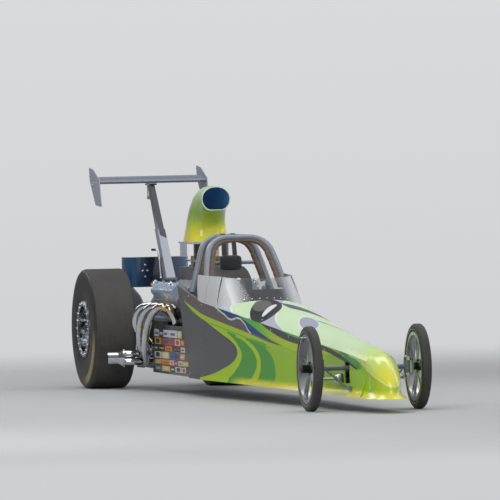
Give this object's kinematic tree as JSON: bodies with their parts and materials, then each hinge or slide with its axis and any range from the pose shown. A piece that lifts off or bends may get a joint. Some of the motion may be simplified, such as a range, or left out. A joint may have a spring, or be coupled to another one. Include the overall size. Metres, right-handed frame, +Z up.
{
  "type": "drag racing car",
  "caption": "Long rear-engine drag racing car with a tapered nose, open roll cage, tall air scoop, sweeping headers, wide rear slicks, slim front wheels and a rear wing.",
  "frame": {"origin": "on the ground under the middle of the car's overall length and width", "axes": "+X forward to the nose, +Y to the car's left, +Z up"},
  "size_m": [7.592, 1.184, 1.545],
  "materials": {
    "frame_paint": "satin",
    "cage_paint": "satin",
    "aluminium": "brushed",
    "cast_metal": "satin",
    "polished": "polished",
    "engine_black": "gloss",
    "scoop_paint": "gloss",
    "side_paint": "gloss",
    "hood_paint": "gloss",
    "nose_paint": "gloss",
    "cowl_paint": "gloss",
    "screen": "smoked",
    "seat_black": "matte",
    "caliper_red": "gloss",
    "rim_metal": "polished",
    "tyre": "matte"
  },
  "bodies": {
    "chassis": {"frame_rails": "frame_paint", "frame_braces": "frame_paint", "roll_cage": "cage_paint", "rear_plates": "frame_paint", "motor_plate": "aluminium", "engine_block": "cast_metal", "cylinder_heads": "aluminium", "valve_covers": "aluminium", "intake_manifold": "aluminium", "carburettors": "cast_metal", "air_scoop": "scoop_paint", "header_right": "polished", "header_left": "polished", "collectors": "polished", "transmission": "aluminium", "axle_housing": "cast_metal", "brake_calipers": "caliper_red", "rear_box": "engine_black", "wing_stand": "frame_paint", "wing_strut": "aluminium", "wing_plane": "aluminium", "wing_end_plates": "aluminium", "wing_adjuster": "polished", "chute_mount": "frame_paint", "side_panel_right": "side_paint", "side_panel_left": "side_paint", "engine_panels": "engine_black", "hood": "hood_paint", "nose_cone": "nose_paint", "belly_pan": "aluminium", "cowl_sides": "cowl_paint", "windscreen": "screen", "seat": "seat_black", "head_pad": "seat_black", "dash": "engine_black", "front_axle": "frame_paint", "rack_housing": "polished"},
    "rear_wheelset": {"axle_shaft": "aluminium", "rear_rims": "rim_metal", "rear_tyres": "tyre", "brake_discs": "cast_metal"},
    "steering": {"steering_wheel": "seat_black"},
    "knuckle_right": {"spindle_right": "polished"},
    "knuckle_left": {"spindle_left": "polished"},
    "tie_rod_body": {"tie_rod": "polished"},
    "front_wheel_right": {"front_rim_right": "rim_metal", "front_tyre_right": "tyre"},
    "front_wheel_left": {"front_rim_left": "rim_metal", "front_tyre_left": "tyre"}
  },
  "joints": [
    {"name": "rear_spin", "type": "hinge", "parent": "chassis", "child": "rear_wheelset", "pos_m": [-3.184, 0, 0.42], "axis": [0, 1, 0], "continuous": true},
    {"name": "steer_right", "type": "hinge", "parent": "chassis", "child": "knuckle_right", "pos_m": [2.916, -0.29, 0.28], "axis": [0, 0, 1], "range_deg": [-12, 12]},
    {"name": "steer_left", "type": "hinge", "parent": "chassis", "child": "knuckle_left", "pos_m": [2.916, 0.29, 0.28], "axis": [0, 0, 1], "range_deg": [-12, 12]},
    {"name": "tie_rod_turn", "type": "hinge", "parent": "knuckle_right", "child": "tie_rod_body", "pos_m": [2.816, -0.29, 0.207], "axis": [0, 0, 1], "range_deg": [-12, 12]},
    {"name": "steering_turn", "type": "hinge", "parent": "chassis", "child": "steering", "pos_m": [-0.464, 0, 0.69], "axis": [-0.9326, 0, 0.361], "range_deg": [-72, 72]},
    {"name": "front_spin_right", "type": "hinge", "parent": "knuckle_right", "child": "front_wheel_right", "pos_m": [2.916, -0.365, 0.28], "axis": [0, 1, 0], "continuous": true},
    {"name": "front_spin_left", "type": "hinge", "parent": "knuckle_left", "child": "front_wheel_left", "pos_m": [2.916, 0.365, 0.28], "axis": [0, 1, 0], "continuous": true}
  ],
  "couplings": [
    {"joint": "steer_left", "follows": "steer_right", "ratio": 1},
    {"joint": "tie_rod_turn", "follows": "steer_right", "ratio": -1},
    {"joint": "steering_turn", "follows": "steer_right", "ratio": 6}
  ]
}
